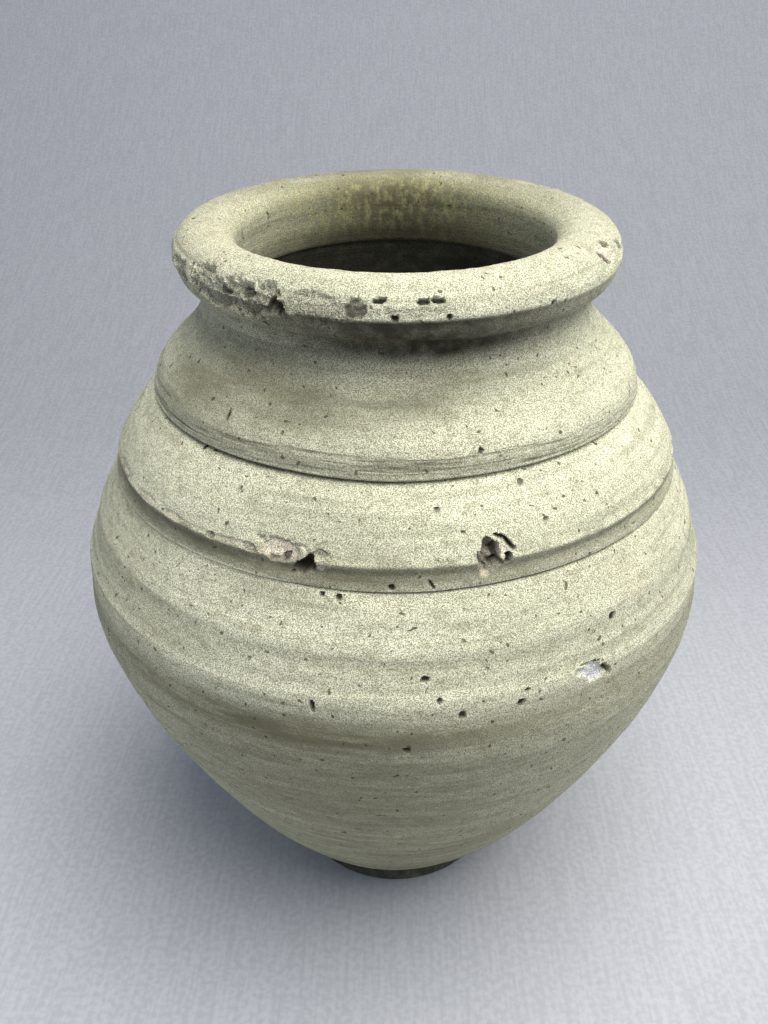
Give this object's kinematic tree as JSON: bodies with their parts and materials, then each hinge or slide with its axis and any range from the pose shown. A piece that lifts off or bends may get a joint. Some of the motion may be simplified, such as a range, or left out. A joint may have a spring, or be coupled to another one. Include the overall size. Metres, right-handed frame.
{
  "type": "greek pithos",
  "caption": "Wide-mouthed unglazed clay storage jar with a heavy rolled rim, stepped shoulder, full belly and small flat foot.",
  "frame": {"origin": "middle of the foot's underside", "axes": "+Z along the jar's axis, up through the mouth; -Y is the side that the picture shows"},
  "size_m": [0.1294, 0.1294, 0.1554],
  "materials": {
    "clay": "matte, unglazed, weathered",
    "slip": "matte, unglazed"
  },
  "bodies": {
    "root": {"foot_disc": "clay", "lower_wall": "clay", "middle_wall": "clay", "belly_wall": "clay", "upper_belly": "clay", "lower_shoulder": "clay", "upper_shoulder": "clay", "neck_ring": "clay", "rim": "clay", "slip_foot": "slip", "slip_lower_wall": "slip", "slip_middle_wall": "slip", "slip_ridge": "slip", "slip_line": "slip", "slip_seam": "slip", "slip_neck": "slip", "slip_rim": "slip"}
  },
  "joints": []
}
